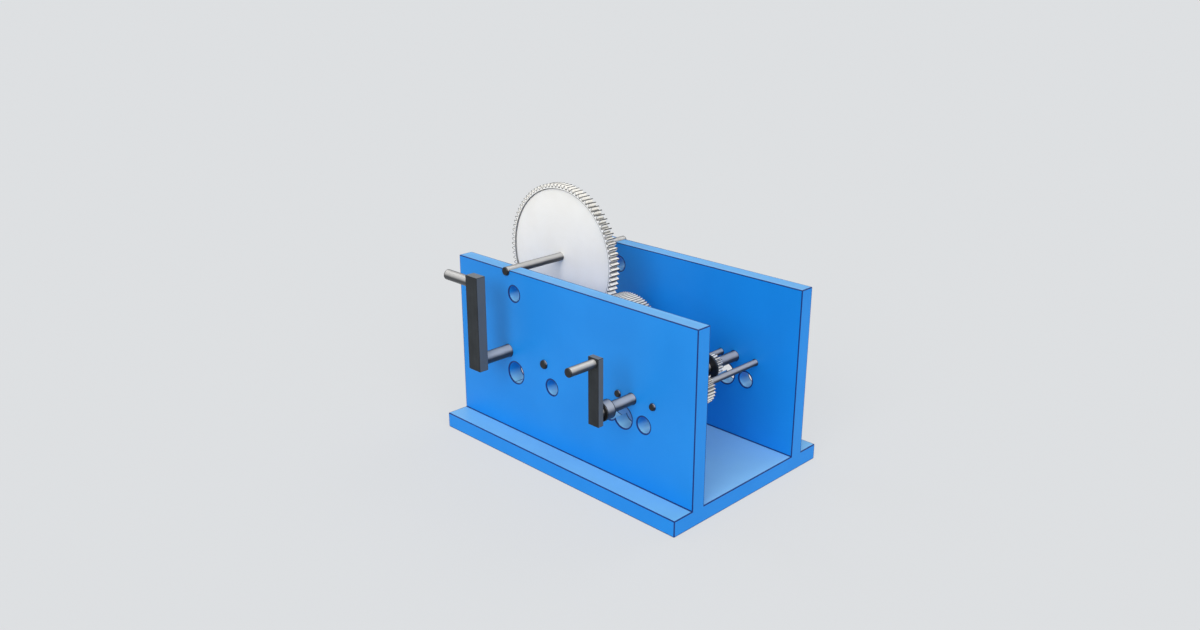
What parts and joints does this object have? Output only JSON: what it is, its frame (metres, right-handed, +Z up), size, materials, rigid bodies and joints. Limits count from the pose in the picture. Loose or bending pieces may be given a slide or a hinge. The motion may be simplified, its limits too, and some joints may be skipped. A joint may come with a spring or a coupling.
{
  "type": "dual crank gearbox",
  "caption": "Open frame of a base and two upright walls carrying two hand cranks, each turning its own spur gears on parallel shafts that run across the frame.",
  "frame": {"origin": "middle of the base's underside", "axes": "+X along the walls, from the big wheel's end to the second crank's end; +Y along the shafts, from the front wall with the cranks to the rear wall; +Z up"},
  "size_m": [0.3008, 0.2513, 0.2444],
  "materials": {
    "frame_paint": "satin",
    "gear_plastic": "matte",
    "shaft_steel": "satin",
    "dark_steel": "satin"
  },
  "bodies": {
    "frame": {"frame": "frame_paint"},
    "crank_1": {"crank_1_shaft": "shaft_steel", "crank_1_arm": "dark_steel", "crank_1_handle": "shaft_steel", "crank_1_narrow_pinion": "gear_plastic", "crank_1_wide_pinion": "gear_plastic"},
    "big_wheel": {"big_wheel": "gear_plastic", "big_wheel_shaft": "shaft_steel"},
    "wide_wheel": {"wide_wheel": "gear_plastic", "wide_wheel_shaft": "shaft_steel"},
    "crank_2": {"crank_2_shaft": "shaft_steel", "crank_2_arm": "dark_steel", "crank_2_handle": "shaft_steel", "crank_2_collar": "shaft_steel", "crank_2_front_pinion": "gear_plastic", "crank_2_rear_pinion": "gear_plastic", "crank_2_flange_disc": "dark_steel"},
    "reduction_wheel": {"reduction_wheel": "gear_plastic", "reduction_shaft": "shaft_steel"},
    "step_up_pinion": {"step_up_pinion": "gear_plastic", "step_up_shaft": "shaft_steel"}
  },
  "joints": [
    {"name": "crank_1_spin", "type": "hinge", "parent": "frame", "child": "crank_1", "pos_m": [-0.08, 0, 0.095], "axis": [0, 1, 0], "continuous": true},
    {"name": "big_wheel_spin", "type": "hinge", "parent": "frame", "child": "big_wheel", "pos_m": [-0.08, 0, 0.17354], "axis": [0, 1, 0], "continuous": true},
    {"name": "wide_wheel_spin", "type": "hinge", "parent": "frame", "child": "wide_wheel", "pos_m": [-0.03, 0, 0.095], "axis": [0, 1, 0], "continuous": true},
    {"name": "crank_2_spin", "type": "hinge", "parent": "frame", "child": "crank_2", "pos_m": [0.08, 0, 0.095], "axis": [0, 1, 0], "continuous": true},
    {"name": "reduction_spin", "type": "hinge", "parent": "frame", "child": "reduction_wheel", "pos_m": [0.104, 0, 0.095], "axis": [0, 1, 0], "continuous": true},
    {"name": "step_up_spin", "type": "hinge", "parent": "frame", "child": "step_up_pinion", "pos_m": [0.064, 0, 0.095], "axis": [0, 1, 0], "continuous": true}
  ],
  "couplings": [
    {"joint": "big_wheel_spin", "follows": "crank_1_spin", "ratio": -0.13333},
    {"joint": "wide_wheel_spin", "follows": "crank_1_spin", "ratio": -0.21951},
    {"joint": "reduction_spin", "follows": "crank_2_spin", "ratio": -0.6},
    {"joint": "step_up_spin", "follows": "crank_2_spin", "ratio": -1.2857}
  ]
}
